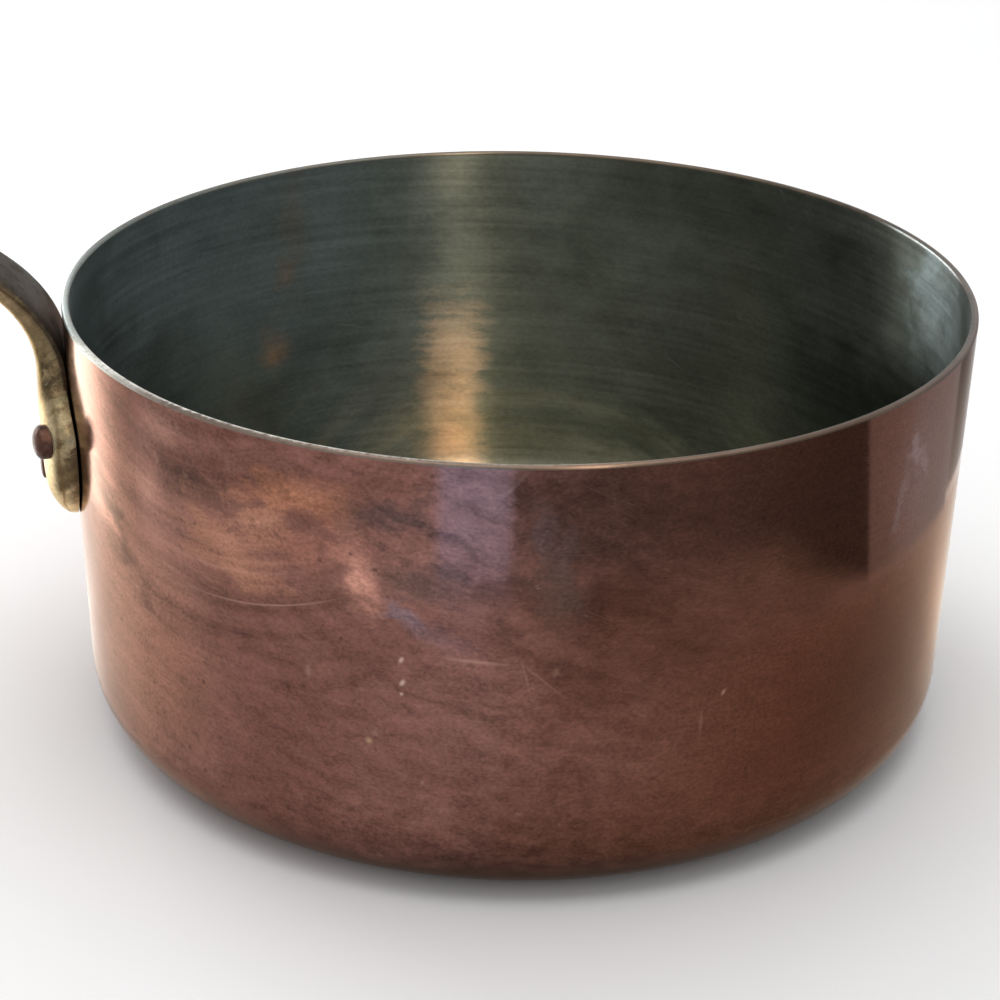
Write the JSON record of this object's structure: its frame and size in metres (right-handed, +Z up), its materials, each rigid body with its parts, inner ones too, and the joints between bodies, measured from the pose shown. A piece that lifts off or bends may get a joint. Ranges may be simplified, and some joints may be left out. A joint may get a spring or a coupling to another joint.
{
  "type": "saucepan",
  "caption": "Straight-sided copper saucepan with a wiped tin lining, and a cast brass stick handle riveted on that sweeps up from its plate to a hanging eye.",
  "frame": {"origin": "centre of the pan's flat base, on the surface it stands on", "axes": "+Z up along the pan's axis, the handle points along -X, and +Y completes the right-handed frame"},
  "size_m": [0.4303, 0.24, 0.207],
  "materials": {
    "copper": "polished copper, dulled by brown tarnish",
    "tin": "wiped tin, greyed with use",
    "cast_brass": "cast, filed smooth and tarnished",
    "rivet_copper": "peened copper, darkened"
  },
  "bodies": {
    "root": {"pan_body": "copper", "tin_lining": "tin", "handle": "cast_brass", "rivet_upper_left": "rivet_copper", "rivet_upper_right": "rivet_copper", "rivet_lower": "rivet_copper"}
  },
  "joints": []
}
